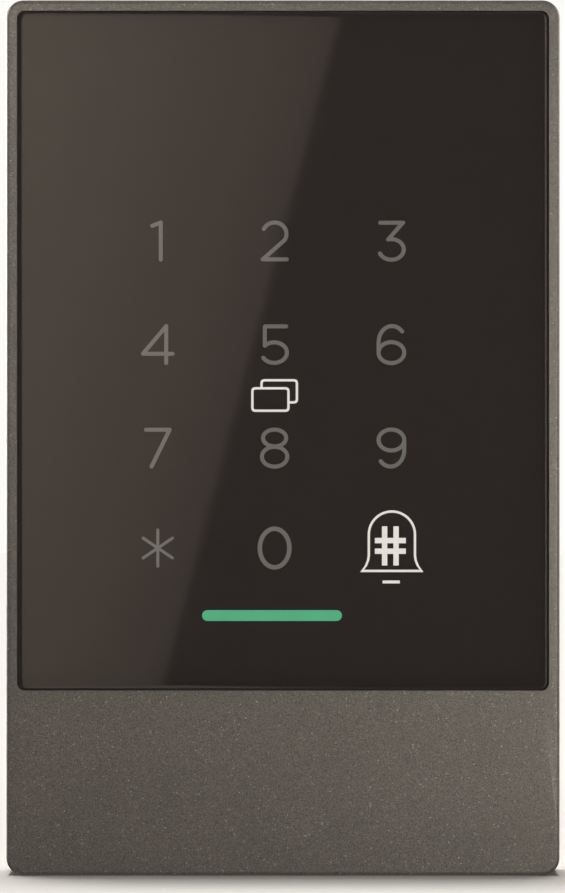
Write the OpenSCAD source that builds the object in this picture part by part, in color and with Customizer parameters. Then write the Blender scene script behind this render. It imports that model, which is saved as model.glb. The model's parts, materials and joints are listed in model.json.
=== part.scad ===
// Wall-mounted access reader: cast metal housing, glass touch keypad, sealed electronics and a wall plate.
// X is to the right seen from the front, Z is up, and the front faces -Y.
// The wall is the plane y = 0, and the origin is the centre of the wall plate's screw pattern.

/* [Housing] */
// Width of the housing
body_w = 79; // [78:0.5:82]
// Height of the housing
body_h = 125; // [124:0.5:128]
// Depth of the housing, from the wall to its front face
body_d = 15.5; // [15.3:0.1:17]
// Outer corner radius seen from the front
corner_r = 2.5; // [1.5:0.25:3.5]
// Width of the rim beside and above the glass
rim_w = 1.5; // [1.2:0.1:1.8]
// Height of the plain metal below the glass
chin_h = 26.4; // [26:0.1:28]
// Gap between the housing's rear edge and the wall
wall_gap = 0.3; // [0.2:0.1:0.5]

/* [Glass] */
// Thickness of the glass
glass_t = 1.8; // [1.5:0.1:2]
// Gap around the glass
glass_gap = 0.25; // [0.15:0.05:0.35]
// Depth of the glass face below the rim
glass_recess = 0.3; // [0.2:0.1:0.5]
// Corner radius of the glass
glass_corner = 1; // [0.5:0.1:2]
// Thickness of the printed film behind the glass
film_t = 0.15; // [0.1:0.05:0.2]
// Thickness of the adhesive frame
adhesive_t = 0.3; // [0.2:0.05:0.4]

/* [Keys] */
// Distance between key columns
key_pitch_x = 16.7; // [16:0.1:17.5]
// Distance between key rows
key_pitch_z = 14.8; // [14:0.1:15]
// Centre of the middle column
key_mid_x = -1.2; // [-2:0.1:0]
// Height of the top row above the origin
key_top_z = 28.15; // [27:0.05:29]
// Line width of the digits
digit_line = 0.57; // [0.4:0.01:0.7]
// Line width of the two white outlines
icon_line = 0.34; // [0.3:0.01:0.4]
// Bar width of the hash sign
hash_line = 0.77; // [0.6:0.01:0.9]
// Length of the status light
status_w = 20; // [16:0.5:24]
// Height of the status light
status_h = 1.55; // [1.2:0.05:2]
// Height of the status light's centre above the origin
status_z = -25.4; // [-26:0.1:-25]

/* [Boards] */
// Thickness of the key board
touch_board_t = 1; // [0.8:0.1:1]
// Thickness of the main board
main_board_t = 1.2; // [1:0.1:1.2]
// Gap between the two boards
board_gap = 1.2; // [1.2:0.1:1.4]
// Number of wires the wiring header takes
wire_count = 8; // [6:1:8]

/* [Wall plate] */
// Thickness of the steel plate
plate_t = 1; // [0.9:0.1:1.1]
// Distance across the four wall screws
screw_dx = 50; // [48:1:52]
// Distance up the four wall screws
screw_dz = 80; // [78:1:82]
// Radius of the four wall screw holes
screw_r = 2.25; // [2:0.05:2.5]
// Distance between the two wall box holes
box_dz = 60.3; // [60:0.1:61]
// Radius of the two wall box holes
box_r = 2; // [1.8:0.05:2.2]
// Distance of each hook from the middle
hook_x = 22; // [18:1:24]
// Width of each hook
hook_w = 10; // [8:1:12]

/* [Security screw] */
// Radius of the screw's thread
lock_r = 1.5; // [1.5:0.1:1.6]
// Radius of the screw's head
lock_head_r = 2.75; // [2.6:0.05:2.8]
// Distance of the screw from the wall
lock_y = 4.6; // [4.5:0.1:4.8]

/* [Switches] */
// Radius of the tamper plunger
plunger_r = 1.5; // [1.4:0.05:1.6]
// Travel of the tamper plunger
plunger_travel = 1.4; // [1:0.1:1.4]
// Travel of the reset button
reset_travel = 0.25; // [0.2:0.05:0.3]

/* [Hidden] */
$fn = 48;
over = 0.5; // how far a cut runs past the face that it opens
through = 20; // longer than the reader is deep, for cuts right through it

// Outline
half_w = body_w / 2;
half_h = body_h / 2;
front_y = -body_d;
rear_y = -wall_gap;
wall_t = 2.5;
skirt_t = 1.5; // wall round the rear recess, which the wall plate sits in
lip_t = 1.7; // from the outside to the edge of the rear cover
glass_x = half_w - rim_w;
glass_top = half_h - rim_w;
glass_low = -half_h + chin_h;

// Layers behind the glass, from the front to the wall
glass_front = front_y + glass_recess;
film_front = glass_front + glass_t;
film_back = film_front + film_t;
ledge_front = film_back + adhesive_t;
ledge_t = 1.2;
pad_t = 1.15;
backlight_gap = 0.15;
backlight_t = 2.35;
ledge_back = ledge_front + ledge_t;
pad_back = ledge_back + pad_t;
frame_front = film_back + backlight_gap;
touch_front = ledge_back + backlight_t;
touch_back = touch_front + touch_board_t;
main_front = touch_back + board_gap;
main_back = main_front + main_board_t;
shoulder_y = -4;
cover_front = -3.1;
cover_back = -1.5;

// Inside of the housing
inner_x = half_w - wall_t;
inner_low = -half_h + wall_t;
chin_t = 2;
chin_back = front_y + chin_t;
cover_x = half_w - lip_t;
cover_top = 57.1;
cover_low = -half_h + lip_t;
bar_z = 57.3;
shelf_z = 56.3;
ledge_x = 35;
ledge_top = 55;
ledge_low = -32.6;
pad = 4.6; // half the side of each corner pad of the ledge
antenna_x = 30.2;
antenna_top = 51;
antenna_low = -28.6;
antenna_r = 7;
antenna_w = 1.6;
board_slack = 0.3;
board_x = inner_x - board_slack;
board_top = 55.9;
touch_low = -33.2;
main_low = -59.5;

// Fastening
pad_x = 33.3;
pad_top = 53.2;
pad_low = -30.8;
post_x = 34;
post_z = 44;
chin_post_x = 31;
chin_post_z = -51;
post_r = 2.6;
post_room = 3.2; // half the side of the notches that pass the upper posts
thread_r = 1.25;
board_hole_slack = 0.15;
frame_screw_r = 0.8;
frame_hole_r = 1.15;
cover_sink_y = -2.95; // floor of the counterbores round the cover screws

// Hooks: the hinge axis is the middle of each hook's round end
hinge_y = -2.2;
hinge_z = 60.4;
pocket_x = 7;
pocket_front = -9.5;
pocket_top = -54;
pocket_floor = -59.5;
tab_low = -58.5;
tab_t = 1;
lock_slack = 0.3;
lock_head_low = -62.3;
lock_head_h = 1.4;

// Switches
tamper_x = 24;
tamper_z = -20;
reset_x = -24;
reset_z = -20;
header_z = -44;

// Heights of the switch parts above the main board
flange_low = main_back + 2;
flange_top = main_back + 2.5;
tamper_seat = main_back + 1.2;
button_low = main_back + 0.8;

// Middles of the twelve keys, row by row
keys = [for (row = [0:3], col = [0:2])
    [key_mid_x + (col - 1) * key_pitch_x, key_top_z - row * key_pitch_z + (row == 3 ? 0.5 : 0)]];
hash_at = [15.35, -15.44];
bell_x = 15.57;
icon_at = [-1.2, 6.06];
status_x = -1.57;

// ---- shapes ----

function arc(c, rx, rz, from, to, steps = 10) =
    [for (i = [0:steps]) let (a = from + (to - from) * i / steps) c + [rx * cos(a), rz * sin(a)]];

function round_rect(x0, x1, z0, z1, r, steps = 8) = concat(
    arc([x1 - r, z1 - r], r, r, 0, 90, steps), arc([x0 + r, z1 - r], r, r, 90, 180, steps),
    arc([x0 + r, z0 + r], r, r, 180, 270, steps), arc([x1 - r, z0 + r], r, r, 270, 360, steps));

// Unit normal of a path at one of its points, lengthened at a corner so the line keeps its width
function normal_at(p, i) =
    let (a = p[max(i - 1, 0)], b = p[i], c = p[min(i + 1, len(p) - 1)],
         u = i == 0 ? (c - b) / norm(c - b) : (b - a) / norm(b - a),
         v = i == len(p) - 1 ? u : (c - b) / norm(c - b),
         m = (u + v) / norm(u + v))
    [-m[1], m[0]] / (m * u);

function heading(a, b) = atan2(b[1] - a[1], b[0] - a[0]);

// Outline of an open line with round ends
function line_outline(p, w) =
    let (n = len(p), h = w / 2,
         start = heading(p[0], p[1]), stop = heading(p[n - 2], p[n - 1]))
    concat([for (i = [0:n - 1]) p[i] + h * normal_at(p, i)], arc(p[n - 1], h, h, stop + 75, stop - 75, 5),
           [for (i = [n - 1:-1:0]) p[i] - h * normal_at(p, i)], arc(p[0], h, h, start - 105, start - 255, 5));

module stroke(p, w = digit_line) polygon(line_outline(p, w));

module ellipse_ring(rx, rz, w) {
    h = w / 2;
    difference() {
        polygon(arc([0, 0], rx + h, rz + h, 0, 350, 35));
        polygon(arc([0, 0], rx - h, rz - h, 0, 350, 35));
    }
}

// Solid between two depths from an outline drawn in X and Z
module slab(front, back) translate([0, back, 0]) rotate([90, 0, 0]) linear_extrude(back - front) children();

module block(x0, x1, y0, y1, z0, z1) translate([x0, y0, z0]) cube([x1 - x0, y1 - y0, z1 - z0]);

// Round bar along Y
module rod(x, z, y0, y1, r) translate([x, y1, z]) rotate([90, 0, 0]) cylinder(h = y1 - y0, r = r);

module at_sides() for (s = [0, 1]) mirror([s, 0, 0]) children();

module at_pads() at_sides() for (z = [pad_low, pad_top]) translate([0, 0, z]) children();

module at_posts() at_sides() {
    translate([post_x, 0, post_z]) children();
    translate([chin_post_x, 0, chin_post_z]) children();
}

// ---- symbols ----

module digit_1() {
    stroke([[0.42, 2.66], [0.42, -2.66]]);
    stroke([[0.42, 2.66], [-0.8, 2.18]]);
}

module digit_2() {
    stroke(concat(arc([0, 1.02], 1.7, 1.64, 155, -32, 14), [[-1.7, -2.62]]));
    stroke([[-1.72, -2.62], [1.75, -2.62]]);
}

module digit_3() {
    stroke([[-1.6, 2.62], [1.7, 2.62]]);
    stroke([[1.65, 2.62], [-0.42, 0.28]]);
    stroke(arc([0, -1.2], 1.78, 1.48, 106, -158, 18));
}

module digit_4() {
    stroke([[1.2, 2.66], [1.2, -2.66]]);
    stroke([[1.2, 2.62], [-2.12, -1.3]]);
    stroke([[-2.12, -1.32], [2.12, -1.32]]);
}

module digit_5() {
    stroke([[-1.4, 2.6], [1.65, 2.6]]);
    stroke([[-1.4, 2.6], [-1.4, -0.06]]);
    stroke(arc([-0.05, -1.15], 1.82, 1.48, 138, -150, 18));
}

module digit_6() {
    translate([0, -1.15]) ellipse_ring(1.84, 1.5, digit_line);
    stroke(concat(arc([0.1, 0.3], 1.94, 2.35, 42, 180, 14), [[-1.84, -1.15]]));
}

module digit_7() {
    stroke([[-1.7, 2.62], [1.7, 2.62]]);
    stroke([[1.68, 2.6], [-0.9, -2.66]]);
}

module digit_8() {
    translate([0, 1.44]) ellipse_ring(1.66, 1.2, digit_line);
    translate([0, -1.24]) ellipse_ring(1.82, 1.42, digit_line);
}

module digit_9() rotate(180) digit_6();

module star() {
    stroke([[0, 2.6], [0, -2.6]], 0.42);
    for (a = [-1, 1]) stroke([[2.1 * a, 1.42], [-2.1 * a, -1.42]], 0.42);
}

module digit_0() ellipse_ring(2.12, 2.76, 0.64);

module digits() {
    translate(keys[0]) digit_1();
    translate(keys[1]) digit_2();
    translate(keys[2]) digit_3();
    translate(keys[3]) digit_4();
    translate(keys[4]) digit_5();
    translate(keys[5]) digit_6();
    translate(keys[6]) digit_7();
    translate(keys[7]) digit_8();
    translate(keys[8]) digit_9();
    translate(keys[9]) star();
    translate(keys[10]) digit_0();
}

module card(w, h, r = 0.55) difference() {
    polygon(round_rect(-w / 2, w / 2, -h / 2, h / 2, r, 4));
    inner_w = w / 2 - icon_line;
    inner_h = h / 2 - icon_line;
    polygon(round_rect(-inner_w, inner_w, -inner_h, inner_h, r - icon_line * 0.8, 4));
}

module cards() translate(icon_at) {
    translate([-0.6, -0.57]) card(5.5, 3.55);
    difference() {
        translate([0.66, 0.6]) card(5.4, 3.5);
        translate([-0.6, -0.57]) square([5.2, 3.25], center = true);
    }
}

module hash_sign() translate(hash_at) for (s = [-1, 1]) {
    translate([s * 0.82, 0]) square([hash_line, 5.6], center = true);
    translate([0, s * 0.76]) square([4.42, hash_line], center = true);
}

// Half outline of the bell from its crown to its lip, at one distance from the line's middle
function bell_side(d) = concat(arc([0, -13.82], 3.3 + d, 3.3 + d, 90, 0, 12),
    [[3.3 + d, -16.8], [3.4 + d, -17.5], [3.72 + d, -18.3], [4.25 + 1.6 * d, -19.02 - abs(d)]]);

function mirrored(p) = [for (i = [len(p) - 1:-1:0]) [-p[i][0], p[i][1]]];

module bell() translate([bell_x, 0]) {
    h = icon_line / 2;
    outer = bell_side(h);
    inner = [for (q = bell_side(-h)) [q[0], max(q[1], -19.02 + h)]];
    difference() {
        polygon(concat(outer, mirrored(outer)));
        polygon(concat(inner, mirrored(inner)));
    }
    translate([-0.1, -20.6]) square([2.46, 0.42], center = true);
}

module status_bar(grow = 0) translate([status_x, status_z]) {
    r = status_h / 2 + grow;
    for (s = [-1, 1]) translate([s * (status_w - status_h) / 2, 0]) circle(r);
    square([status_w - status_h, 2 * r], center = true);
}

// ---- wall side ----

module wall_plate() color("silver") {
    plate_x = 36.5;
    plate_top = 56.9;
    tab_x = 6;
    tab_front = -8;
    cable_x = 19;
    cable_low = -50;
    cable_top = -37;
    plunger_hole_r = 3.2;
    difference() {
        union() {
            slab(-plate_t, 0) polygon(round_rect(-plate_x, plate_x, tab_low, plate_top, 3));
            at_sides() hook();
            block(-tab_x, tab_x, tab_front, -plate_t, tab_low, tab_low + tab_t);
        }
        for (x = [-1, 1], z = [-1, 1]) rod(x * screw_dx / 2, z * screw_dz / 2, -3, 1, screw_r);
        for (z = [-1, 1]) rod(0, z * box_dz / 2, -3, 1, box_r);
        slab(-3, 1) polygon(round_rect(-cable_x, cable_x, cable_low, cable_top, 2));
        rod(tamper_x, tamper_z, -3, 1, plunger_hole_r);
        translate([0, -lock_y, tab_low - 1]) cylinder(h = 3, r = lock_r + lock_slack);
    }
}

// A joggled strip with a round end, which the housing hangs on
module hook() {
    x0 = hook_x - hook_w / 2;
    x1 = hook_x + hook_w / 2;
    r = 0.5;
    root = 50;
    step_low = 57.6;
    step_top = 58.6;
    block(x0, x1, -plate_t, 0, root, step_top);
    block(x0, x1, hinge_y - r, 0, step_low, step_top);
    block(x0, x1, hinge_y - r, hinge_y + r, step_low, hinge_z);
    translate([x0, hinge_y, hinge_z]) rotate([0, 90, 0]) cylinder(h = hook_w, r = r);
}

module clinch_nut() color("gainsboro") translate([0, -lock_y, tab_low + tab_t]) difference() {
    nut_h = 1.6;
    nut_r = 2.6;
    thread_slack = 0.05;
    cylinder(h = nut_h, r = nut_r);
    translate([0, 0, -1]) cylinder(h = 4, r = lock_r + thread_slack);
}

// Lobed socket with a centre pin, so an ordinary driver doesn't turn it
module security_screw() color("silver") translate([0, -lock_y, lock_head_low]) difference() {
    shank_at = 1.35;
    shank_l = 5.75;
    socket_deep = 0.9;
    socket_r = 1.05;
    lobe_r = 0.32;
    pin_r = 0.4;
    union() {
        cylinder(h = lock_head_h, r = lock_head_r);
        translate([0, 0, shank_at]) cylinder(h = shank_l, r = lock_r);
    }
    translate([0, 0, -over]) difference() {
        linear_extrude(over + socket_deep) union() {
            circle(socket_r);
            for (a = [0:60:300]) rotate(a) translate([socket_r, 0]) circle(lobe_r, $fn = 24);
        }
        translate([0, 0, -over]) cylinder(h = 3, r = pin_r, $fn = 24);
    }
}

// ---- housing ----

module housing_shell() {
    pocket_corner = glass_corner + 0.1;
    loft_back = -5.2;
    top_wall = 3;
    seam = 0.01;
    swing_bevel = 1.5;
    difference() {
        slab(front_y, rear_y) polygon(round_rect(-half_w, half_w, -half_h, half_h, corner_r));
        // glass pocket and the window through its ledge
        slab(front_y - over, ledge_front)
            polygon(round_rect(-glass_x, glass_x, glass_low, glass_top, pocket_corner));
        difference() {
            block(-ledge_x, ledge_x, ledge_front - over, pad_back + over, ledge_low, ledge_top);
            corner_pads(pad);
        }
        // room for the frame, boards and rear cover
        difference() {
            block(-inner_x, inner_x, ledge_back, shoulder_y + over, glass_low - rim_w, shelf_z);
            corner_pads(pad);
        }
        block(-inner_x, inner_x, ledge_back, loft_back, shelf_z - 1, half_h - top_wall);
        block(-inner_x, inner_x, chin_back, shoulder_y + over, inner_low, glass_low - rim_w + seam);
        block(-half_w + skirt_t, half_w - skirt_t, shoulder_y, rear_y + over, -half_h + skirt_t, bar_z);
        // bevel that clears the wall as the reader swings
        translate([0, rear_y, half_h]) rotate([45, 0, 0])
            cube([body_w + 2, swing_bevel, swing_bevel], center = true);
    }
}

// Square pads at the corners of the ledge, which take the frame's screws
module corner_pads(size) for (x = [-1, 1], z = [ledge_low, ledge_top])
    block(x * ledge_x - size, x * ledge_x + size, -through, pad_back, z - size, z + size);

// Room in the top wall that a hook turns in, with a mouth towards the wall
module hook_pocket() {
    slack = 0.4;
    x0 = hook_x - hook_w / 2 - slack;
    x1 = hook_x + hook_w / 2 + slack;
    low = bar_z - 1.2;
    block(x0, x1, -3.1, -1.1, low, 61.25);
    block(x0, x1, -1.2, rear_y + over, low, 59.6);
}

// Open-backed slot in the bottom wall that the security screw stands in
module lock_slot(r, z0, z1) translate([0, -lock_y, z0]) {
    cylinder(h = z1 - z0, r = r);
    translate([-r, 0, 0]) cube([2 * r, lock_y + 1, z1 - z0]);
}

module post(x, z, y0) difference() {
    bore_front = -11;
    rod(x, z, y0, main_front, post_r);
    rod(x, z, bore_front, main_front + over, thread_r + 0.02);
}

module front_housing() color([0.33, 0.31, 0.29]) {
    pocket_t = 1.5;
    root = 0.2; // how far each post runs into the wall that it stands on
    head_slack = 0.35;
    head_top = -60.8;
    pilot_front = -12.4;
    pilot_r = 0.82;
    sound_x = 20;
    sound_y = -9;
    sound_pitch = 2.5;
    sound_r = 0.6;
    difference() {
        union() {
            housing_shell();
            // pocket for the wall plate's bottom tab
            difference() {
                block(-pocket_x - pocket_t, pocket_x + pocket_t, pocket_front - pocket_t, shoulder_y,
                    inner_low - over, pocket_top + pocket_t);
                block(-pocket_x, pocket_x, pocket_front, 0, pocket_floor, pocket_top);
            }
            block(-pocket_x, pocket_x, pocket_front, rear_y, -half_h + 1, pocket_floor);
            at_sides() post(chin_post_x, chin_post_z, chin_back - root);
            at_sides() post(post_x, post_z, ledge_back - root);
        }
        at_sides() hook_pocket();
        lock_slot(lock_r + lock_slack, -half_h - 1, pocket_floor + 1);
        lock_slot(lock_head_r + head_slack, -half_h - 1, head_top);
        at_pads() rod(pad_x, 0, pilot_front, pad_back + over, pilot_r);
        for (i = [-1:1]) translate([sound_x + i * sound_pitch, sound_y, -half_h - 1])
            cylinder(h = 5, r = sound_r, $fn = 24);
    }
}

// ---- glass panel ----

module panel_outline(inset = 0) {
    g = glass_gap + inset;
    polygon(round_rect(-glass_x + g, glass_x - g, glass_low + g, glass_top - g, glass_corner));
}

module glass_panel() color([0.1, 0.1, 0.1, 0.6]) slab(glass_front, film_front) panel_outline();

module printed_mask() color([0.08, 0.07, 0.06]) slab(film_front, film_back) difference() {
    panel_outline(0.1);
    digits();
    cards();
    hash_sign();
    bell();
    status_bar();
}

module key_legends() color([0.5, 0.48, 0.45]) slab(film_front, film_back) digits();

module card_icon() color("ghostwhite") slab(film_front, film_back) cards();

module bell_symbol() color("ghostwhite") slab(film_front, film_back) {
    hash_sign();
    bell();
}

module status_window() color("mediumseagreen") slab(film_front, film_back) status_bar();

module panel_adhesive() color("dimgray") slab(film_back, ledge_front) difference() {
    panel_outline(0.3);
    translate([-ledge_x, ledge_low]) square([2 * ledge_x, ledge_top - ledge_low]);
}

// ---- backlight ----

// Outline of the antenna, grown or shrunk all round
module antenna_loop(grow) {
    x = antenna_x + grow;
    polygon(round_rect(-x, x, antenna_low - grow, antenna_top + grow, antenna_r + grow));
}

module antenna_track(w, grow = 0) difference() {
    antenna_loop(grow);
    antenna_loop(-w - grow);
}

module backlight_frame() color("white") {
    slack = 0.3;
    groove = 1; // depth of the antenna's groove
    window_r = 4.6;
    bell_window_r = 5.4;
    icon_window = [6.4, 4.2];
    difference() {
        union() {
            block(-ledge_x + slack, ledge_x - slack, frame_front, touch_front,
                ledge_low + slack, ledge_top - slack);
            block(-board_x, board_x, ledge_back, touch_front, touch_low, board_top);
        }
        corner_pads(pad + slack);
        slab(-through, frame_front + groove) antenna_track(antenna_w, 0.1);
        for (k = keys) rod(k[0], k[1], -through, 0, k == keys[11] ? bell_window_r : window_r);
        slab(-through, 0) translate(icon_at) square(icon_window, center = true);
        slab(-through, 0) status_bar(0.15);
        at_sides() block(post_x - post_room, 40, -through, 0, post_z - post_room, post_z + post_room);
        at_pads() rod(pad_x, 0, -through, 0, frame_hole_r);
    }
}

module status_light_guide() color([0.7, 0.95, 0.8, 0.8])
    slab(film_back, touch_front - 0.9) status_bar();

module spring_sleeve(x, z, y0, y1, r, wire) difference() {
    rod(x, z, y0, y1, r);
    rod(x, z, y0 - 1, y1 + 1, r - wire);
}

module touch_springs() color("gold") {
    coil_r = 3.4;
    wire = 0.5;
    for (k = keys) spring_sleeve(k[0], k[1], film_back, touch_front, coil_r, wire);
}

module led(x, z) {
    led_x = 0.8;
    led_z = 0.4;
    led_t = 0.7;
    block(x - led_x, x + led_x, touch_front - led_t, touch_front, z - led_z, z + led_z);
}

module key_leds() color("ivory") {
    for (k = keys) led(k[0], k[1]);
    led(icon_at[0], icon_at[1]);
}

module status_leds() color("palegreen") {
    pitch = 6;
    for (i = [-1:1]) led(status_x + i * pitch, status_z);
}

module card_antenna() color("darkorange")
    slab(frame_front + 0.05, frame_front + 0.95) antenna_track(antenna_w);

// ---- key board ----

module board_outline(z0) difference() {
    translate([-board_x, z0]) square([2 * board_x, board_top - z0]);
    reach = 0.2;
    notch = 2 * (board_x + reach + post_room - post_x);
    for (s = [-1, 1]) translate([s * (board_x + reach), post_z])
        square([notch, 2 * post_room], center = true);
}

module touch_board() color("darkgreen") difference() {
    slab(touch_front, touch_back) board_outline(touch_low);
    at_pads() rod(pad_x, 0, -through, 0, frame_hole_r);
}

module touch_controller() color([0.15, 0.15, 0.15]) block(2, 7, touch_back, touch_back + 0.9, 43, 48);

module small_screw(x, z, head_y, r, length, head_r, head_h) difference() {
    union() {
        rod(x, z, head_y, head_y + head_h, head_r);
        rod(x, z, head_y - length, head_y + 0.1, r);
    }
    for (a = [0, 90]) translate([x, head_y + head_h, z]) rotate([0, a, 0])
        cube([head_r * 1.1, head_h, head_r * 0.28], center = true);
}

module frame_screws() color("silver") at_pads()
    small_screw(pad_x, 0, touch_back, frame_screw_r, 3.9, 1.7, 0.8);

module board_link_plug() color("tan") block(12, 28, touch_back, touch_back + board_gap / 2, 46.5, 49.5);

module board_link_socket() color("wheat") block(11.5, 28.5, touch_back + board_gap / 2, main_front, 46, 50);

// ---- main board ----

module main_board() color("darkgreen") difference() {
    slab(main_front, main_back) difference() {
        translate([-board_x, main_low]) square([2 * board_x, board_top - main_low]);
        translate([-pocket_x - 2, main_low - 1]) square([2 * pocket_x + 4, pocket_top + 3 - main_low]);
    }
    at_posts() rod(0, 0, -through, 0, thread_r + board_hole_slack);
}

module main_controller() color([0.15, 0.15, 0.15]) block(6, 13, main_back, main_back + 1, 16, 23);

module clock_crystal() color("silver") block(17, 20.2, main_back, main_back + 0.8, 18, 20.5);

module radio_shield() color("silver") difference() {
    block(-20, -4, main_back, main_back + 2.2, 26, 46);
    block(-19.8, -4.2, main_back - over, main_back + 2, 26.2, 45.8);
}

module lock_relay() color("black") block(-24, -9, main_front - 5.6, main_front, -49.5, -39.5);

module sounder() color([0.1, 0.1, 0.1]) difference() {
    rod(21, -45, main_front - 4, main_front, 4.5);
    rod(21, -45, main_front - 5, main_front - 3, 1);
}

module filter_capacitors() color("silver") for (x = [1, 9]) {
    rod(x, -43.5, main_front - 5.4, main_front - 0.8, 3.15);
    block(x - 3.3, x + 3.3, main_front - 0.8, main_front, -46.8, -40.2);
}

module power_inductor() color("dimgray") block(-33.5, -27.5, main_front - 3, main_front, -46, -40);

module wire_header() color("white") {
    w = wire_count * 3.96 / 2;
    depth = 3.4;
    half = 3.5;
    wall = 0.8;
    difference() {
        block(-w, w, main_back, main_back + depth, header_z - half, header_z + half);
        block(-w + wall, w - wall, main_back + wall, main_back + depth + over,
            header_z - half + wall, header_z + half - wall);
    }
}

module header_pins() color("gold") {
    pitch = 3.5;
    pin_r = 0.35;
    for (i = [0:wire_count - 1])
        rod((i - (wire_count - 1) / 2) * pitch, header_z, main_back + 0.8, main_back + 3, pin_r);
}

// ---- switches ----

module tamper_switch() color([0.15, 0.15, 0.15]) difference() {
    block(tamper_x - 3, tamper_x + 3, main_back, tamper_seat, tamper_z - 3, tamper_z + 3);
    rod(tamper_x, tamper_z, main_back + 0.4, main_back + 2, 1);
}

module tamper_spring() color("silver") {
    coil_r = 1.9;
    wire = 0.5;
    spring_sleeve(tamper_x, tamper_z, tamper_seat, flange_low, coil_r, wire);
}

module tamper_plunger() color("white") {
    flange_r = 2.4;
    stem_r = 0.8;
    stem_low = main_back + 0.7;
    join = 0.02;
    rod(tamper_x, tamper_z, flange_top - join, 0, plunger_r);
    rod(tamper_x, tamper_z, flange_low, flange_top, flange_r);
    rod(tamper_x, tamper_z, stem_low, flange_low + join, stem_r);
}

module reset_switch() color([0.15, 0.15, 0.15]) difference() {
    block(reset_x - 2, reset_x + 2, main_back, main_back + 1, reset_z - 1.5, reset_z + 1.5);
    rod(reset_x, reset_z, button_low - 2 * reset_travel, main_back + 2, 0.95);
}

module reset_button() color("firebrick") rod(reset_x, reset_z, button_low, button_low + 1, 0.88);

// ---- rear cover ----

// Cover outline less a notch that leaves the tab pocket open, grown or shrunk all round
module cover_outline(grow) difference() {
    x = cover_x + grow;
    translate([-x, cover_low - grow]) square([2 * x, cover_top - cover_low + 2 * grow]);
    slack = 0.2 - grow;
    n = pocket_x + slack;
    translate([-n, cover_low - 3]) square([2 * n, pocket_top + slack - cover_low + 3]);
}

module rear_seal() color([0.2, 0.2, 0.2]) slab(shoulder_y, cover_front) difference() {
    cover_outline(0.1);
    cover_outline(-0.75);
}

module rear_cover() color([0.2, 0.2, 0.2]) {
    boss_r = 2.4;
    chin_boss_r = 3;
    sink_r = 2.3;
    head_room = 4.8;
    head_floor = -2.4;
    window_x = 17;
    window_z = 4.5;
    guide_slack = 0.08;
    flange_room = 2.7;
    flange_stop = flange_top + plunger_travel + 0.1;
    reset_hole_r = 1.5;
    difference() {
        union() {
            slab(cover_front, cover_back) cover_outline(0);
            at_sides() rod(post_x, post_z, main_back, cover_front + 0.1, boss_r);
            at_sides() rod(chin_post_x, chin_post_z, main_back, cover_front + 0.1, chin_boss_r);
        }
        // screws, and room over the wall screws' heads
        at_posts() rod(0, 0, -through, 0, thread_r + 0.1);
        at_posts() rod(0, 0, cover_sink_y, 0, sink_r);
        for (x = [-1, 1], z = [-1, 1]) rod(x * screw_dx / 2, z * screw_dz / 2, head_floor, 0, head_room);
        for (z = [-1, 1]) rod(0, z * box_dz / 2, head_floor, 0, head_room);
        // wiring window, tamper guide and reset hole
        slab(-through, 0)
            polygon(round_rect(-window_x, window_x, header_z - window_z, header_z + window_z, 1));
        rod(tamper_x, tamper_z, -through, 0, plunger_r + guide_slack);
        rod(tamper_x, tamper_z, -through, flange_stop, flange_room);
        rod(reset_x, reset_z, -through, 0, reset_hole_r);
    }
}

module cover_screws() color("silver") at_posts() small_screw(0, 0, cover_sink_y, thread_r, 7.6, 2.05, 1.2);

wall_plate();
clinch_nut();
security_screw();
front_housing();
glass_panel();
printed_mask();
key_legends();
card_icon();
bell_symbol();
status_window();
panel_adhesive();
backlight_frame();
status_light_guide();
touch_springs();
key_leds();
status_leds();
card_antenna();
touch_board();
touch_controller();
frame_screws();
board_link_plug();
board_link_socket();
main_board();
main_controller();
clock_crystal();
radio_shield();
lock_relay();
sounder();
filter_capacitors();
power_inductor();
wire_header();
header_pins();
tamper_switch();
tamper_spring();
tamper_plunger();
reset_switch();
reset_button();
rear_seal();
rear_cover();
cover_screws();
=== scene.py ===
"""Looks of the wall-mounted keypad access reader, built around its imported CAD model."""

import json
import math

import bmesh
import bpy
from mathutils import Matrix, Vector

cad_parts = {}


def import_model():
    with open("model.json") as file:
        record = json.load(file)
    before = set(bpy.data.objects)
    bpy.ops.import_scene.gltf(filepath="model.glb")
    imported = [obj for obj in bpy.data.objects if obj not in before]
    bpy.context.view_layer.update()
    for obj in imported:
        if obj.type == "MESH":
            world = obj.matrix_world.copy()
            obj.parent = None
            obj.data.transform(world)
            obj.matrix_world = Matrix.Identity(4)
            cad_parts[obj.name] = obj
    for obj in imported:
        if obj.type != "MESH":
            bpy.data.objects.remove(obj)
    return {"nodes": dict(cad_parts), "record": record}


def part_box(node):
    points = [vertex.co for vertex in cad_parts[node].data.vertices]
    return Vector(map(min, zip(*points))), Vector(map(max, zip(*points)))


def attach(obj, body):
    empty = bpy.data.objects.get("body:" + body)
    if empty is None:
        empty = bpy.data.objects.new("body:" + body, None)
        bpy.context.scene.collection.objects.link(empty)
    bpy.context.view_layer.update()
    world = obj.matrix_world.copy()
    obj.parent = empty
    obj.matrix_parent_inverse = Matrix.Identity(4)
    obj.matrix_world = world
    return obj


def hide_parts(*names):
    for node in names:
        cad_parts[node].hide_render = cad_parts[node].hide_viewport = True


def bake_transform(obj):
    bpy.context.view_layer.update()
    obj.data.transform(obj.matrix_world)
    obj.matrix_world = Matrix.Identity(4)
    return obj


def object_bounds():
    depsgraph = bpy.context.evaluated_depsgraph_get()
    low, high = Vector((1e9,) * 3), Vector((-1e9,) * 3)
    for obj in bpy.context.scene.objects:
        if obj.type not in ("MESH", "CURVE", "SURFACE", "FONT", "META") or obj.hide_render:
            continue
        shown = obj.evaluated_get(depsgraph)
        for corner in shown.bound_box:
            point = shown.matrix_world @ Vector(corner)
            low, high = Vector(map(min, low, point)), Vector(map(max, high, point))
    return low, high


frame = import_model()
cad_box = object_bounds()
nodes = frame["nodes"]

MM = 0.001


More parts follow.
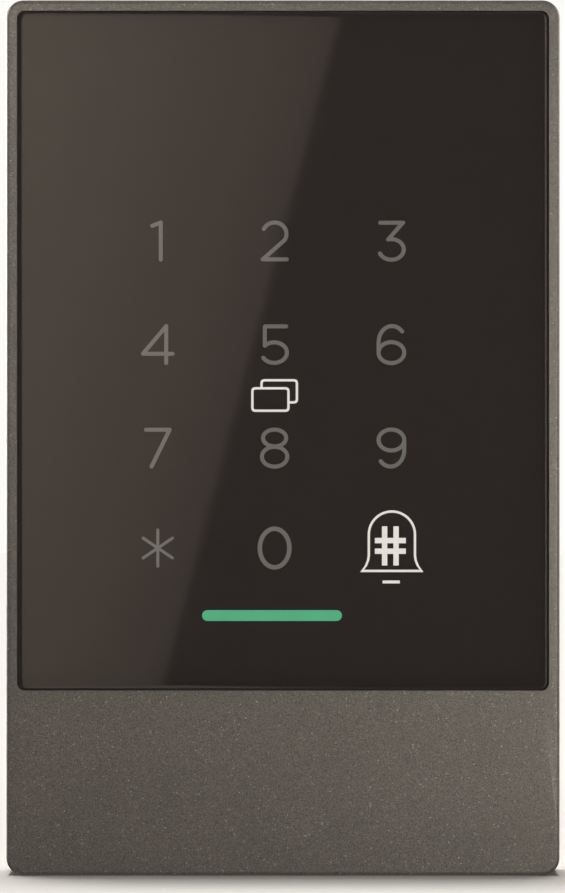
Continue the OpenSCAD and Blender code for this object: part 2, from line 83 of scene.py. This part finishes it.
# ---- mesh helpers -------------------------------------------------------------------------------

def mesh_of(name, verts, faces):
    mesh = bpy.data.meshes.new(name)
    mesh.from_pydata([tuple(v) for v in verts], [], faces)
    return mesh


def added(name, data):
    """A new object in the scene."""
    obj = bpy.data.objects.new(name, data)
    bpy.context.scene.collection.objects.link(obj)
    return obj


def finished(name, mesh, slot, smooth_deg):
    """A shaded object with its slot's material, which still needs a body."""
    mesh.validate()
    shade_by_angle(mesh, smooth_deg)
    obj = added(name, mesh)
    obj.data.materials.append(MATERIALS[slot])
    return obj


def piece(name, verts, faces, body, slot, smooth_deg=30):
    """A shaded object from vertices and faces in metres, which rides on a CAD body."""
    obj = finished(name, mesh_of(name, verts, faces), slot, smooth_deg)
    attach(obj, body)
    return obj


def shade_by_angle(mesh, degrees):
    """Smooth shading, with sharp edges where it would show as a smear.

    They are the edges that turn by more than degrees, and those between faces of very different
    areas that aren't in one plane.
    """
    limit = math.radians(degrees)
    in_plane = 0.001
    very_different = 30
    work = bmesh.new()
    work.from_mesh(mesh)
    bmesh.ops.recalc_face_normals(work, faces=work.faces)
    for face in work.faces:
        face.smooth = True
    for edge in work.edges:
        areas = sorted(face.calc_area() for face in edge.link_faces)
        turn = edge.calc_face_angle(0)
        edge.smooth = (len(areas) == 2 and turn < limit
                       and (turn < in_plane or areas[1] < very_different * areas[0]))
    work.to_mesh(mesh)
    work.free()


def rounded_outline(x0, x1, z0, z1, radius, steps):
    """Points of a rectangle with round corners, in X and Z, anticlockwise seen from the front."""
    points = []
    corners = ((x1, z1, 0), (x0, z1, 90), (x0, z0, 180), (x1, z0, 270))
    for x, z, start in corners:
        cx = x - math.copysign(radius, x - (x0 + x1) / 2)
        cz = z - math.copysign(radius, z - (z0 + z1) / 2)
        for i in range(steps + 1):
            a = math.radians(start + 90 * i / steps)
            points.append((cx + radius * math.cos(a), cz + radius * math.sin(a)))
    return points


def loft(rings):
    """Vertices and faces of a closed solid through rings with the same number of points."""
    count = len(rings[0])
    verts = [point for ring in rings for point in ring]
    faces = []
    for r in range(len(rings) - 1):
        for i in range(count):
            j = (i + 1) % count
            faces.append((r * count + i, r * count + j, (r + 1) * count + j, (r + 1) * count + i))
    faces.append(tuple(range(count - 1, -1, -1)))
    faces.append(tuple(range((len(rings) - 1) * count, len(rings) * count)))
    return verts, faces


def rounded_slab(rect, profile, radius, steps):
    """Rings of a rounded rectangle, one for each (y, inset) of the profile."""
    least_radius = 0.05 * MM
    x0, x1, z0, z1 = rect
    rings = []
    for y, inset in profile:
        outline = rounded_outline(x0 + inset, x1 - inset, z0 + inset, z1 - inset,
                                  max(radius - inset, least_radius), steps)
        rings.append([(x, y, z) for x, z in outline])
    return rings


def edge_round(y_face, into, r, steps):
    """(y, inset) steps of a quarter round from a face to the side wall; into is the way to the wall in y."""
    turn = [math.pi / 2 * i / steps for i in range(steps + 1)]
    return [(y_face + into * r * (1 - math.cos(a)), r * (1 - math.sin(a))) for a in turn]


def tube(points, radius, sides=8, closed=False):
    """Vertices and faces of a wire of round section along points."""
    count = len(points)
    points = [Vector(p) for p in points]
    verts, faces = [], []
    for i, p in enumerate(points):
        before = points[i - 1] if i or closed else p
        after = points[(i + 1) % count] if i < count - 1 or closed else p
        along = (after - before).normalized()
        side = along.cross(Vector((0, 1, 0)))
        side = side.normalized() if side.length > 1e-6 else Vector((1, 0, 0))
        up = side.cross(along)
        for s in range(sides):
            a = 2 * math.pi * s / sides
            verts.append(p + radius * (math.cos(a) * side + math.sin(a) * up))
    for i in range(count if closed else count - 1):
        k = (i + 1) % count
        for s in range(sides):
            t = (s + 1) % sides
            faces.append((i * sides + s, i * sides + t, k * sides + t, k * sides + s))
    if not closed:
        faces.append(tuple(range(sides - 1, -1, -1)))
        faces.append(tuple(range((count - 1) * sides, count * sides)))
    return verts, faces


def joined(parts):
    """One list of vertices and faces from several."""
    verts, faces = [], []
    for part_verts, part_faces in parts:
        start = len(verts)
        verts += part_verts
        faces += [tuple(start + i for i in face) for face in part_faces]
    return verts, faces


def coil(x, z, y0, y1, r, wire_r, turns, per_turn=20):
    """A compression spring along Y with closed, flat ends."""
    low, high = y0 + wire_r, y1 - wire_r
    steps = int((turns + 2) * per_turn)
    points = []
    for i in range(steps + 1):
        turn = i / per_turn
        rise = min(max((turn - 1) / turns, 0), 1)
        a = 2 * math.pi * turn
        flat = 2 * wire_r * (min(turn, 1) - 1 + max(turn - turns - 1, 0))
        y = low + 2 * wire_r + (high - low - 4 * wire_r) * rise + flat
        points.append((x + r * math.cos(a), y, z + r * math.sin(a)))
    return tube(points, wire_r)


# ---- material helpers ---------------------------------------------------------------------------

def add_node(tree, kind, inputs, **settings):
    """A new shader node with its settings, and its inputs set or linked by name or number."""
    new = tree.nodes.new("ShaderNode" + kind)
    for name, value in settings.items():
        setattr(new, name, value)
    for key, value in inputs.items():
        if isinstance(value, bpy.types.NodeSocket):
            tree.links.new(value, new.inputs[key])
        else:
            new.inputs[key].default_value = value
    return new


class Surface:
    """A material with one Principled shader, and short ways to add its nodes."""

    def __init__(self, name, colour, roughness, metallic=0.0, **sockets):
        self.material = bpy.data.materials.new(name)
        self.material.use_nodes = True
        self.tree = self.material.node_tree
        self.shader = self.tree.nodes["Principled BSDF"]
        self.set("Base Color", (*colour, 1))
        self.set("Roughness", roughness)
        self.set("Metallic", metallic)
        for socket, value in sockets.items():
            self.set(socket.replace("_", " "), value)
        self.place = self.tree.nodes.new("ShaderNodeTexCoord").outputs["Object"]

    def set(self, socket, value):
        self.shader.inputs[socket].default_value = value

    def link(self, output, socket):
        self.tree.links.new(output, self.shader.inputs[socket])

    def node(self, kind, **inputs):
        return add_node(self.tree, kind, {name.replace("_", " "): value for name, value in inputs.items()})

    def noise(self, size, detail=2.0, rough=0.5, stretch=None):
        """0 to 1 noise whose blotches are about size metres across."""
        place = self.place
        if stretch:
            place = self.node("Mapping", Vector=place, Scale=stretch).outputs["Vector"]
        new = self.node("TexNoise", Vector=place, Scale=1 / size, Detail=detail, Roughness=rough)
        return new.outputs["Fac"]

    def cells(self, size):
        """A random 0 to 1 value for each cell of about size metres."""
        new = self.node("TexVoronoi", Vector=self.place, Scale=1 / size)
        split = self.node("SeparateColor", Color=new.outputs["Color"])
        return split.outputs["Red"]

    def spread(self, value, low, high, start=0.3, stop=0.7):
        """value, remapped from start..stop to low..high and held there."""
        new = self.node("MapRange", Value=value, From_Min=start, From_Max=stop, To_Min=low, To_Max=high)
        new.clamp = True
        return new.outputs["Result"]

    def blend(self, fac, one, two):
        """Colour between two, each an RGB value or a socket."""
        one, two = (c if isinstance(c, bpy.types.NodeSocket) else (*c, 1) for c in (one, two))
        new = add_node(self.tree, "Mix", {0: fac, 6: one, 7: two}, data_type="RGBA")
        return new.outputs[2]

    def bump(self, height, depth, strength=1.0):
        new = self.node("Bump", Height=height, Distance=depth, Strength=strength)
        self.link(new.outputs["Normal"], "Normal")


def housing_coat():
    """Dark gunmetal powder coat: fine grain, sparse bright flakes and a slight orange peel."""
    s = Surface("housing_coat", (0.2, 0.185, 0.17), 0.5, metallic=0.75)
    grain = s.cells(0.1 * MM)
    flakes = s.cells(0.16 * MM)
    drift = s.spread(s.noise(9 * MM, 3), 0, 1)
    base = s.blend(drift, (0.225, 0.201, 0.168), (0.245, 0.219, 0.184))
    grained = s.blend(s.spread(grain, 0, 1, 0.0, 1.0), (0.1, 0.089, 0.074), base)
    bright = s.spread(flakes, 0, 0.7, 0.98, 1.0)
    s.link(s.blend(bright, grained, (0.5, 0.47, 0.43)), "Base Color")
    s.link(s.spread(grain, 0.38, 0.52, 0.0, 1.0), "Roughness")
    s.bump(s.noise(0.2 * MM, 3), 0.02 * MM, 0.8)
    return s.material


def panel_glass():
    s = Surface("panel_glass", (0.93, 0.94, 0.94), 0.0, IOR=1.5, Transmission_Weight=1.0)
    s.link(s.spread(s.noise(14 * MM, 3), 0.0, 0.002), "Roughness")
    return s.material


def mask_ink():
    s = Surface("mask_ink", (0.026, 0.0205, 0.019), 0.02)
    s.link(s.blend(s.noise(3 * MM), (0.0245, 0.0193, 0.018), (0.0275, 0.0217, 0.02)), "Base Color")
    return s.material


def lit_ink(name, colour, depth=0.08, size=0.9 * MM):
    """Translucent print lit from behind, a little uneven as screen printing is."""
    s = Surface(name, tuple(0.1 * c for c in colour), 0.02, Emission_Strength=1.0)
    shade = tuple(c * (1 - depth) for c in colour)
    s.link(s.blend(s.spread(s.noise(size), 0, 1), shade, colour), "Emission Color")
    return s.material


def moulded(name, colour, roughness=0.5, grain=0.12 * MM, depth=0.012 * MM, variation=0.12, **sockets):
    """Moulded plastic with a spark-eroded or satin skin."""
    s = Surface(name, colour, roughness, **sockets)
    dark = tuple(c * (1 - variation) for c in colour)
    s.link(s.blend(s.spread(s.noise(5 * MM, 3), 0, 1), dark, colour), "Base Color")
    s.link(s.spread(s.noise(grain * 4, 2), roughness * 0.85, min(1, roughness * 1.15)), "Roughness")
    s.bump(s.noise(grain, 2), depth, 0.6)
    return s.material


def rolled_metal(name, colour, roughness, along=(1, 1, 14), size=0.5 * MM):
    """Sheet or bar with fine drawn lines."""
    variation = 0.2
    s = Surface(name, colour, roughness, metallic=1.0)
    lines = s.noise(size, 3, 0.6, stretch=tuple(1 / a for a in along))
    dark = tuple(c * (1 - variation) for c in colour)
    s.link(s.blend(s.spread(lines, 0, 1), dark, colour), "Base Color")
    s.link(s.spread(lines, roughness * 0.75, roughness * 1.3), "Roughness")
    s.bump(lines, 0.004 * MM, 0.5)
    return s.material


def plated_sheet():
    """Zinc-plated steel: drawn lines with a faint blue and yellow bloom."""
    s = Surface("plate_steel", (0.6, 0.61, 0.62), 0.35, metallic=1.0)
    lines = s.noise(0.4 * MM, 3, 0.6, stretch=(1, 1, 0.06))
    bloom = s.noise(16 * MM, 3)
    tint = s.blend(s.spread(bloom, 0, 1), (0.52, 0.55, 0.6), (0.66, 0.65, 0.58))
    s.link(s.blend(s.spread(lines, 0, 1, 0.35, 0.75), tint, (0.5, 0.5, 0.5)), "Base Color")
    s.link(s.spread(lines, 0.28, 0.46), "Roughness")
    s.bump(lines, 0.004 * MM, 0.4)
    return s.material


def board_green():
    """Solder mask over copper: broad pours, fine traces and tiny vias."""
    s = Surface("board_green", (0.01, 0.09, 0.04), 0.3, Coat_Weight=0.4, Coat_Roughness=0.15)
    wave = s.node("TexWave", Vector=s.place, Scale=240.0, Distortion=9.0, Detail=0.0)
    traces = s.spread(wave.outputs["Fac"], 0, 1, 0.62, 0.7)
    pours = s.spread(s.noise(12 * MM, 0), 0, 1, 0.5, 0.52)
    ground = s.blend(pours, (0.008, 0.075, 0.032), (0.012, 0.12, 0.052))
    s.link(s.blend(traces, ground, (0.02, 0.17, 0.075)), "Base Color")
    s.bump(traces, 0.02 * MM, 0.5)
    return s.material


MATERIALS = {
    "housing_coat": housing_coat(),
    "panel_glass": panel_glass(),
    "mask_ink": mask_ink(),
    "grey_ink": lit_ink("grey_ink", (0.15, 0.142, 0.126)),
    "white_ink": lit_ink("white_ink", (0.78, 0.75, 0.69), 0.06),
    "status_green": lit_ink("status_green", (0.091, 0.413, 0.212), 0.1, 5 * MM),
    "foam_tape": moulded("foam_tape", (0.02, 0.02, 0.02), 0.9, 0.3 * MM, 0.05 * MM),
    "white_plastic": moulded("white_plastic", (0.8, 0.8, 0.77), 0.45, variation=0.05),
    "light_guide": moulded("light_guide", (0.8, 0.88, 0.84), 0.2, IOR=1.49, Transmission_Weight=0.7),
    "spring_gold": rolled_metal("spring_gold", (0.9, 0.68, 0.32), 0.25, size=0.1 * MM),
    "led_resin": moulded("led_resin", (0.9, 0.85, 0.6), 0.25, Subsurface_Weight=0.2),
    "antenna_copper": rolled_metal("antenna_copper", (0.75, 0.3, 0.12), 0.3, size=0.15 * MM),
    "board_green": board_green(),
    "chip_black": moulded("chip_black", (0.02, 0.02, 0.022), 0.6, 0.08 * MM),
    "tinned_steel": rolled_metal("tinned_steel", (0.75, 0.75, 0.72), 0.3),
    "screw_steel": rolled_metal("screw_steel", (0.62, 0.62, 0.61), 0.28, (1, 6, 1), 0.12 * MM),
    "plate_steel": plated_sheet(),
    "relay_black": moulded("relay_black", (0.018, 0.018, 0.02), 0.3, 0.2 * MM),
    "capacitor_can": rolled_metal("capacitor_can", (0.8, 0.8, 0.81), 0.3, (1, 8, 1), 0.2 * MM),
    "ferrite": moulded("ferrite", (0.06, 0.058, 0.056), 0.7, 0.15 * MM, 0.03 * MM),
    "connector_plastic": moulded("connector_plastic", (0.76, 0.7, 0.55), 0.5),
    "cover_plastic": moulded("cover_plastic", (0.022, 0.022, 0.023), 0.55, 0.18 * MM, 0.02 * MM),
    "seal_rubber": moulded("seal_rubber", (0.018, 0.018, 0.018), 0.8, 0.3 * MM),
    "plunger_plastic": moulded("plunger_plastic", (0.8, 0.8, 0.77), 0.35),
    "button_plastic": moulded("button_plastic", (0.45, 0.03, 0.02), 0.4),
}

for part in frame["record"]["subparts"]:
    shown = nodes[part["node"]]
    shown.data.materials.clear()
    shown.data.materials.append(MATERIALS[part["material_slot"]])


# ---- modelled parts in sight: edges broken ------------------------------------------------------

def break_edges(node, width):
    """Weld a CAD node's faces, merge its flat facets and bevel its sharp edges."""
    shown = nodes[node]
    weld = shown.modifiers.new("weld", "WELD")
    weld.merge_threshold = 1e-6
    merge = shown.modifiers.new("merge", "DECIMATE")
    merge.decimate_type = "DISSOLVE"
    merge.angle_limit = math.radians(0.5)
    bevel = shown.modifiers.new("bevel", "BEVEL")
    bevel.width = width
    bevel.segments = 2
    bevel.limit_method = "ANGLE"
    bevel.angle_limit = math.radians(35)
    even = shown.modifiers.new("even", "WEIGHTED_NORMAL")
    even.keep_sharp = True


for node, width in (("wall_plate", 0.1), ("rear_cover", 0.12), ("wire_header", 0.08), ("tamper_plunger", 0.1),
                    ("security_screw", 0.05), ("cover_screws", 0.05), ("lock_relay", 0.12),
                    ("radio_shield", 0.08), ("reset_button", 0.06)):
    break_edges(node, width * MM)


# ---- housing: the casting with its edges rounded ------------------------------------------------

def cut_by(mesh, verts, faces, operation):
    """mesh, in millimetres, after an exact boolean with a closed solid in metres."""
    tool = added("tool", mesh_of("tool", [Vector(v) / MM for v in verts], faces))
    target = added("target", mesh)
    cut = target.modifiers.new("cut", "BOOLEAN")
    cut.operation = operation
    cut.solver = "EXACT"
    cut.object = tool
    graph = bpy.context.evaluated_depsgraph_get()
    result = bpy.data.meshes.new_from_object(target.evaluated_get(graph))
    bpy.data.objects.remove(tool)
    bpy.data.objects.remove(target)
    return result


def welded_copy(node):
    """A CAD node's mesh in millimetres, with the vertices that its faces share made one."""
    work = bmesh.new()
    work.from_mesh(nodes[node].data)
    bmesh.ops.scale(work, vec=Vector((1, 1, 1)) / MM, verts=work.verts)
    bmesh.ops.remove_doubles(work, verts=work.verts, dist=0.0005)
    mesh = bpy.data.meshes.new(node + "_work")
    work.to_mesh(mesh)
    work.free()
    return mesh


def housing():
    """The CAD casting with its outer edges rounded and the edge round its opening broken."""
    low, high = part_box("front_housing")
    glass_low, glass_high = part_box("glass_panel")
    proud = 0.03 * MM
    corner = 2.5 * MM
    front_round = 0.5 * MM
    rear_round = 0.3 * MM
    front, rear = low.y, high.y
    outer = (low.x - proud, high.x + proud, low.z - proud, high.z + proud)
    profile = [(front - proud, 0.62 * MM)]
    profile += [(y, inset + proud) for y, inset in edge_round(front, 1, front_round, 6)]
    profile += [(front + 0.8 * MM, 0), (rear - 0.6 * MM, 0)]
    profile += [(y, inset + proud) for y, inset in reversed(edge_round(rear, -1, rear_round, 4))]
    profile += [(rear + proud, 0.4 * MM)]
    envelope = loft(rounded_slab(outer, profile, corner, 16))
    mesh = cut_by(welded_copy("front_housing"), *envelope, "INTERSECT")
    # the flare that breaks the edge, as millimetres (behind the front, in from the gap's outer edge)
    gap = 0.25 * MM
    opening = (glass_low.x - gap, glass_high.x + gap, glass_low.z - gap, glass_high.z + gap)
    flare = [(-0.1, -0.28), (0.02, -0.16), (0.09, -0.05), (0.22, 0.02), (0.5, 0.1)]
    steps = [(front + depth * MM, inset * MM) for depth, inset in flare]
    mesh = cut_by(mesh, *loft(rounded_slab(opening, steps, 1.1 * MM, 10)), "DIFFERENCE")
    mesh.transform(Matrix.Scale(MM, 4))
    mesh.materials.clear()
    shell = finished("housing_casting", mesh, "housing_coat", 28)
    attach(shell, "reader")
    even = shell.modifiers.new("even", "WEIGHTED_NORMAL")
    even.keep_sharp = True
    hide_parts("front_housing")
    return shell


casting = housing()


# ---- glass: a polished plate bonded to the film behind it ---------------------------------------

def glass():
    low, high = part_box("glass_panel")
    back = high.y + 0.02 * MM
    # a narrow polished bevel, as millimetres (behind the front, in from the edge)
    bevel = [(0, 0.5), (0, 0.28), (0.02, 0.2), (0.1, 0.05), (0.15, 0.012), (0.22, 0)]
    profile = [(low.y + depth * MM, inset * MM) for depth, inset in bevel]
    profile += [(back - 0.1 * MM, 0), (back, 0.1 * MM)]
    rings = rounded_slab((low.x, high.x, low.z, high.z), profile, 1.0 * MM, 12)
    plate = piece("glass_plate", *loft(rings), "reader", "panel_glass", 25)
    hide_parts("glass_panel")
    # light passes the clear glass unbent, so the print behind it is lit without grain
    plate.visible_shadow = False
    plate.visible_diffuse = False
    return plate


plate = glass()


def gap_seal_and_shade():
    """Black foam on the ledge, which is all that shows in the gap round the glass: real foam, carried out
    into the gap so that its black is painted shade there.
    """
    low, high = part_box("glass_panel")
    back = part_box("panel_adhesive")[1].y
    front = back - 0.28 * MM
    rings = []
    # the outer edge reaches 0.24 mm past the glass into the gap, so the foam's black stands in for the gap's
    # shade (painted shade)
    for grow, radius in ((0.24 * MM, 1.05 * MM), (-0.29 * MM, 0.7 * MM)):
        rim = rounded_outline(low.x - grow, high.x + grow, low.z - grow, high.z + grow, radius, 8)
        rings += [[(x, y, z) for x, z in rim] for y in (front, back)]
    verts = [point for ring in rings for point in ring]
    count = len(rings[0])
    section = (0, 1, 3, 2)
    faces = []
    for i in range(count):
        j = (i + 1) % count
        for a, b in zip(section, section[1:] + section[:1]):
            faces.append((a * count + i, a * count + j, b * count + j, b * count + i))
    piece("gap_seal_and_shade", verts, faces, "reader", "foam_tape")


gap_seal_and_shade()


# ---- capacitors: rolled cans on square bases ----------------------------------------------------

def loose_parts(node):
    """(lowest corner, highest corner) of each separate solid of a CAD node."""
    work = bmesh.new()
    work.from_mesh(nodes[node].data)
    bmesh.ops.remove_doubles(work, verts=work.verts, dist=1e-6)
    left, boxes = set(work.verts), []
    while left:
        todo = [left.pop()]
        found = list(todo)
        while todo:
            for edge in todo.pop().link_edges:
                for vert in edge.verts:
                    if vert in left:
                        left.remove(vert)
                        todo.append(vert)
                        found.append(vert)
        corners = [Vector([pick(v.co[i] for v in found) for i in range(3)]) for pick in (min, max)]
        boxes.append(tuple(corners))
    work.free()
    return sorted(boxes, key=lambda box: (-round(box[0].z, 4), box[0].x))


def capacitor_cans():
    """Cans with a rolled groove and a dished top, each on a square base."""
    base_height = 0.8 * MM
    edge = 0.12 * MM
    radius = 3.15 * MM
    sides = 48
    # the can's outline, as millimetres (out from the base, in from the wall) and (in from the top, the same)
    wall = [(0, 0.3), (0, 0), (0.9, 0), (1.05, 0.22), (1.25, 0.22), (1.4, 0)]
    top = [(0.35, 0), (0.1, 0.1), (0, 0.4), (0, 0.75), (0.12, 0.85)]
    turns = [math.tau * k / sides for k in range(sides)]
    parts = []
    for low, high in loose_parts("filter_capacitors"):
        middle = (low + high) / 2
        seat = high.y - base_height
        can = [(seat - rise * MM, radius - inset * MM) for rise, inset in wall]
        can += [(low.y + drop * MM, radius - inset * MM) for drop, inset in top]
        rings = [[(middle.x + r * math.cos(a), y, middle.z + r * math.sin(a)) for a in turns] for y, r in can]
        parts.append(loft(rings))
        block = [(high.y, edge), (high.y - edge, 0), (seat + edge, 0), (seat, edge)]
        parts.append(loft(rounded_slab((low.x, high.x, low.z, high.z), block, 0.5 * MM, 5)))
    cans = piece("capacitor_cans", *joined(parts), "reader", "capacitor_can", 40)
    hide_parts("filter_capacitors")


# ---- springs and antenna winding ----------------------------------------------------------------

def key_coils():
    wire = 0.22 * MM
    turns = 3.5
    parts = []
    for low, high in loose_parts("touch_springs"):
        middle = (low + high) / 2
        radius = (high.x - low.x) / 2 - wire
        parts.append(coil(middle.x, middle.z, low.y, high.y, radius, wire, turns))
    coils = piece("key_coils", *joined(parts), "reader", "spring_gold", 60)
    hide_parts("touch_springs")


def tamper_coil():
    """The spring between the reader and its plunger."""
    wire = 0.11 * MM
    turns = 1.5
    low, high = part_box("tamper_spring")
    middle = (low + high) / 2
    radius = (high.x - low.x) / 2 - wire
    wound = coil(middle.x, middle.z, low.y, high.y, radius, wire, turns, per_turn=28)
    obj = finished("tamper_coil", mesh_of("tamper_coil", *wound), "screw_steel", 60)
    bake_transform(obj)
    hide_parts("tamper_spring")


def antenna():
    """Closed turns side by side and in layers, in place of the CAD's solid band."""
    wire = 0.14 * MM
    band = 1.6 * MM
    corner = 7 * MM
    across = 5
    deep = 3
    low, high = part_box("card_antenna")
    pitch_in = (band - 2 * wire) / (across - 1)
    pitch_y = (high.y - low.y - 2 * wire) / (deep - 1)
    loops = []
    for i in range(across):
        inset = wire + i * pitch_in
        outline = rounded_outline(low.x + inset, high.x - inset, low.z + inset, high.z - inset,
                                  corner - inset, 8)
        for k in range(deep):
            y = low.y + wire + k * pitch_y
            loops.append(tube([(x, y, z) for x, z in outline], wire, 6, closed=True))
    winding = piece("antenna_winding", *joined(loops), "reader", "antenna_copper", 60)
    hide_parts("card_antenna")


capacitor_cans()
key_coils()
tamper_coil()
antenna()


# ---- stage, light and camera --------------------------------------------------------------------

EYE_DISTANCE = 1.0
eye_place = Vector((-0.07 * MM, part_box("front_housing")[0].y - EYE_DISTANCE, -1.23 * MM))
base = cad_box[0][2]


def studio_floor():
    """A pale floor that glows a little more the further it is behind the reader, as a lit sweep does."""
    half = 3.0
    corners = [(-half, -half, base), (half, -half, base), (half, half, base), (-half, half, base)]
    floor = added("studio_floor", mesh_of("studio_floor", corners, [(0, 1, 2, 3)]))
    s = Surface("studio_floor", (0.915, 0.88, 0.825), 0.9)
    s.set("Specular IOR Level", 0.0)
    s.set("Emission Color", (1.0, 0.99, 0.965, 1))
    place = s.node("SeparateXYZ", Vector=s.place)
    s.link(s.spread(place.outputs["Y"], low=0, high=0.12, start=0.0, stop=0.3), "Emission Strength")
    floor.data.materials.append(s.material)
    floor.visible_glossy = False
    floor.visible_transmission = False
    return floor


def area(name, place, size, power, size_y=None, aim=(0, 0, 0)):
    data = bpy.data.lights.new(name, "AREA")
    data.energy = power
    data.size = size
    if size_y:
        data.shape = "RECTANGLE"
        data.size_y = size_y
    lamp = added(name, data)
    lamp.location = place
    lamp.rotation_euler = (Vector(aim) - Vector(place)).to_track_quat("-Z", "Y").to_euler()
    lamp.visible_camera = False
    return lamp


def sun(name, towards, strength, angle_deg):
    data = bpy.data.lights.new(name, "SUN")
    data.energy = strength
    data.angle = math.radians(angle_deg)
    lamp = added(name, data)
    lamp.rotation_euler = (-Vector(towards)).to_track_quat("-Z", "Y").to_euler()
    return lamp


def world():
    """White where it is seen directly, a soft dim fill, and a studio's bright ceiling in reflections.

    The reflections are dark level with the eye and brighten above and, a little less, below.
    """
    new = bpy.data.worlds.new("studio")
    bpy.context.scene.world = new
    new.use_nodes = True
    tree = new.node_tree
    tree.nodes.clear()

    def background(colour, strength):
        return add_node(tree, "Background", {"Color": (*colour, 1), "Strength": strength}).outputs[0]

    rays = add_node(tree, "LightPath", {})
    place = add_node(tree, "TexCoord", {})
    above = add_node(tree, "SeparateXYZ", {0: place.outputs["Generated"]}).outputs["Z"]
    below = add_node(tree, "Math", {0: above, 1: -0.8}, operation="MULTIPLY").outputs[0]
    height = add_node(tree, "Math", {0: above, 1: below}, operation="MAXIMUM").outputs[0]
    limits = {"From Min": 0.15, "From Max": 0.9, "To Min": 0.036, "To Max": 0.45}
    glow = add_node(tree, "MapRange", {"Value": height, **limits}, interpolation_type="SMOOTHSTEP")
    seen = background((0.985, 0.97, 0.945), 1.0)
    fill = background((1.0, 0.985, 0.96), 0.12)
    mirrored = background((1.0, 0.97, 0.92), glow.outputs["Result"])
    lit = add_node(tree, "MixShader", {0: rays.outputs["Is Glossy Ray"], 1: fill, 2: mirrored})
    shown = add_node(tree, "MixShader", {0: rays.outputs["Is Camera Ray"], 1: lit.outputs[0], 2: seen})
    add_node(tree, "OutputWorld", {"Surface": shown.outputs[0]})


def group_for(lamp, objects):
    group = bpy.data.collections.new(lamp.name + "_receivers")
    for obj in objects:
        group.objects.link(obj)
    return group


def spare(lamp, *objects):
    """The lamp lights everything but these."""
    group = group_for(lamp, objects)
    for member in group.collection_objects:
        member.light_linking.link_state = "EXCLUDE"
    lamp.light_linking.receiver_collection = group


def serve(lamp, *objects):
    """The lamp lights these only."""
    lamp.light_linking.receiver_collection = group_for(lamp, objects)


def highlight_card(receiver):
    """A large glowing card behind the camera, which only the glass mirrors, with its edge leaning."""
    lean = math.radians(14.9)
    card_y = -1.25
    # the point on the glass where the mirrored edge passes, and how much further out the card has to be
    edge_x, edge_z = -17.56 * MM, -36.0 * MM
    reach = 1 + card_y / eye_place.y
    foot = Vector((edge_x * reach, card_y, edge_z * reach))
    up = Vector((math.sin(lean), 0, math.cos(lean)))
    across = Vector((-0.3, 0, 0))
    low, high = foot - up * 0.1, foot + up * 0.3
    corners = [low, high, high + across, low + across]
    card = added("highlight_card", mesh_of("highlight_card", corners, [(0, 1, 2, 3)]))
    s = Surface("highlight_card", (0, 0, 0), 1.0)
    s.set("Specular IOR Level", 0.0)
    s.set("Emission Color", (1.0, 0.823, 0.643, 1))
    # brighter towards its left and its top
    place = s.node("SeparateXYZ", Vector=s.place)
    to_left = s.spread(place.outputs["X"], low=1.2, high=0.1, start=-0.0825, stop=0.0201)
    to_top = s.spread(place.outputs["Z"], low=-0.165, high=0.5, start=-0.08, stop=0.12)
    total = add_node(s.tree, "Math", {0: to_left, 1: to_top})
    s.link(total.outputs[0], "Emission Strength")
    card.data.materials.append(s.material)
    for ray in ("camera", "diffuse", "glossy", "volume_scatter", "shadow"):
        setattr(card, "visible_" + ray, False)
    serve(card, receiver)


def camera():
    """Straight on and far off, centred a little below the middle of the reader."""
    view_height = 127.5 * MM
    data = bpy.data.cameras.new("camera")
    data.sensor_width = 36
    data.lens = data.sensor_width * EYE_DISTANCE / view_height
    data.clip_end = 20
    eye = added("camera", data)
    eye.location = eye_place
    eye.rotation_euler = (math.pi / 2, 0, 0)
    bpy.context.scene.camera = eye


floor = studio_floor()
world()
highlight_card(plate)
spare(sun("key_sun", (-0.04, 0.168, 1.0), 2.55, 20), casting)
spare(area("coat_light_left", (-0.1, -0.35, 0.1), 0.06, 0.17), floor, plate)
spare(area("coat_light_right", (0.15, -0.35, 0.0), 0.06, 0.37), floor, plate)
spare(area("foot_light", (-0.1, -0.5, 0.3), 0.3, 0.3, aim=(0, -0.05, base)), casting, plate)
serve(area("edge_light", (0.62, -0.66, 0.0), 0.3, 0.8, size_y=0.9), plate)
spare(area("top_softbox", (0.1, -0.35, 0.6), 0.5, 0.24), floor, plate)
spare(area("left_softbox", (-0.9, 0.05, 0.3), 0.5, 5.0), floor, plate)
spare(area("right_softbox", (0.9, 0.05, 0.3), 0.5, 5.0), floor, plate)
spare(area("rear_softbox", (-0.25, 0.9, 0.12), 0.9, 18.0, size_y=0.3), floor, plate)
camera()
bpy.context.scene.view_settings.view_transform = "Standard"
